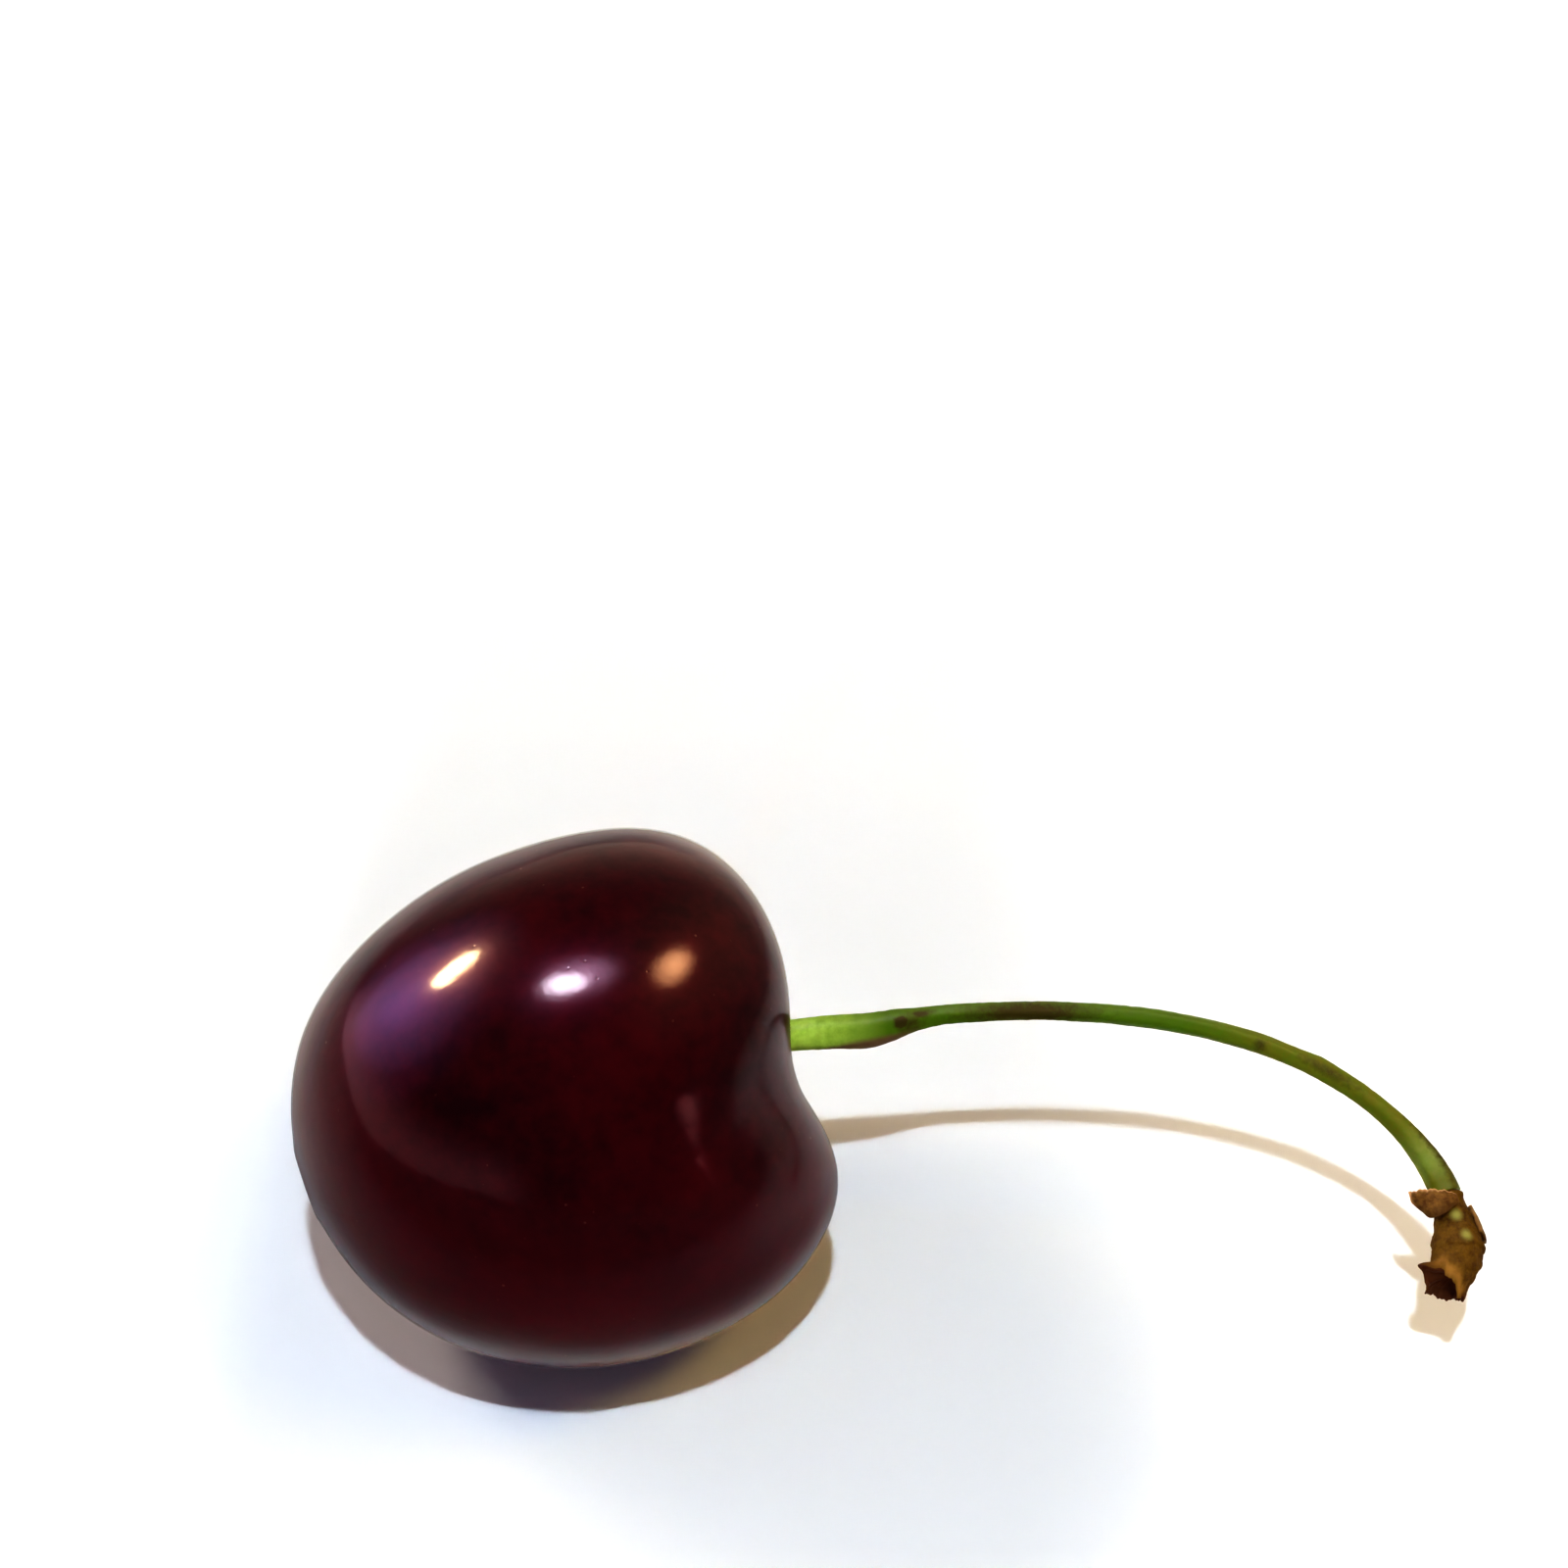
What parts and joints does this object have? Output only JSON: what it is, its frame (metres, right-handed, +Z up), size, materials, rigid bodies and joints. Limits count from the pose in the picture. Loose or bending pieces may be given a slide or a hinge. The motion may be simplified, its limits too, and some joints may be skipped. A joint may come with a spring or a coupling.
{
  "type": "cherry",
  "caption": "Fresh dark sweet cherry with its green stalk and woody spur end, lying on its side.",
  "frame": {"origin": "on the surface it lies on, in the small flat under the fruit, straight below the fruit's middle", "axes": "+Z up, +X along the stalk away from the fruit, -Y the side where the valley from the stalk cavity runs down"},
  "size_m": [0.059, 0.0263, 0.0257],
  "materials": {
    "cherry_skin": "glossy waxy cherry skin, deep crimson to nearly black",
    "cherry_stalk": "fresh green stalk with a soft sheen and brown flecks",
    "spur_bark": "matte olive-brown bark",
    "bud_scale_husk": "dry matte brown husk"
  },
  "bodies": {
    "root": {"fruit": "cherry_skin", "stalk": "cherry_stalk", "spur": "spur_bark", "bud_scale_front": "bud_scale_husk", "bud_scale_side": "bud_scale_husk"}
  },
  "joints": []
}
